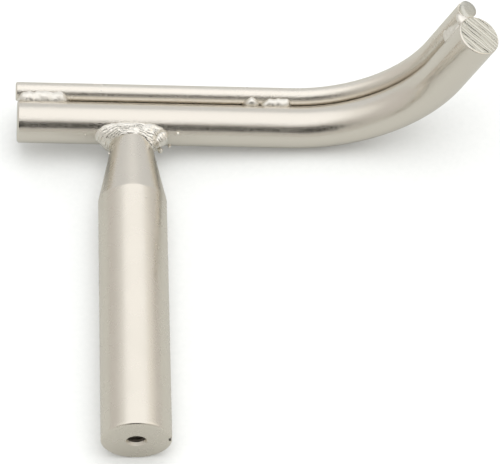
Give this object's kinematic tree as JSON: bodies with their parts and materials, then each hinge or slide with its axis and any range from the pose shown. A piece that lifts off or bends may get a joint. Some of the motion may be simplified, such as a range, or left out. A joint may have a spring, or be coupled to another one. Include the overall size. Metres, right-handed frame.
{
  "type": "welded round bar bracket",
  "caption": "Round post with a tapped end, welded across a bent round bar that has a thin round rod tacked along its side; nickel plated steel.",
  "frame": {"origin": "centre of the post's tapped end face, at the mouth of the tapped hole", "axes": "+Y along the post towards the bar, +X along the straight bar towards its bent end, +Z on the side that the bend rises to"},
  "size_m": [0.1091, 0.0941, 0.0489],
  "materials": {
    "nickel_plate": "satin nickel plate on steel bar",
    "plated_weld": "nickel plate over weld metal"
  },
  "bodies": {
    "root": {"main_bar": "nickel_plate", "side_rod": "nickel_plate", "post": "nickel_plate", "post_weld": "plated_weld", "plain_end_weld": "plated_weld", "middle_weld_drop": "plated_weld", "middle_weld_bead": "plated_weld", "bent_end_weld": "plated_weld", "tip_weld": "plated_weld", "weld_spatter": "plated_weld"}
  },
  "joints": []
}
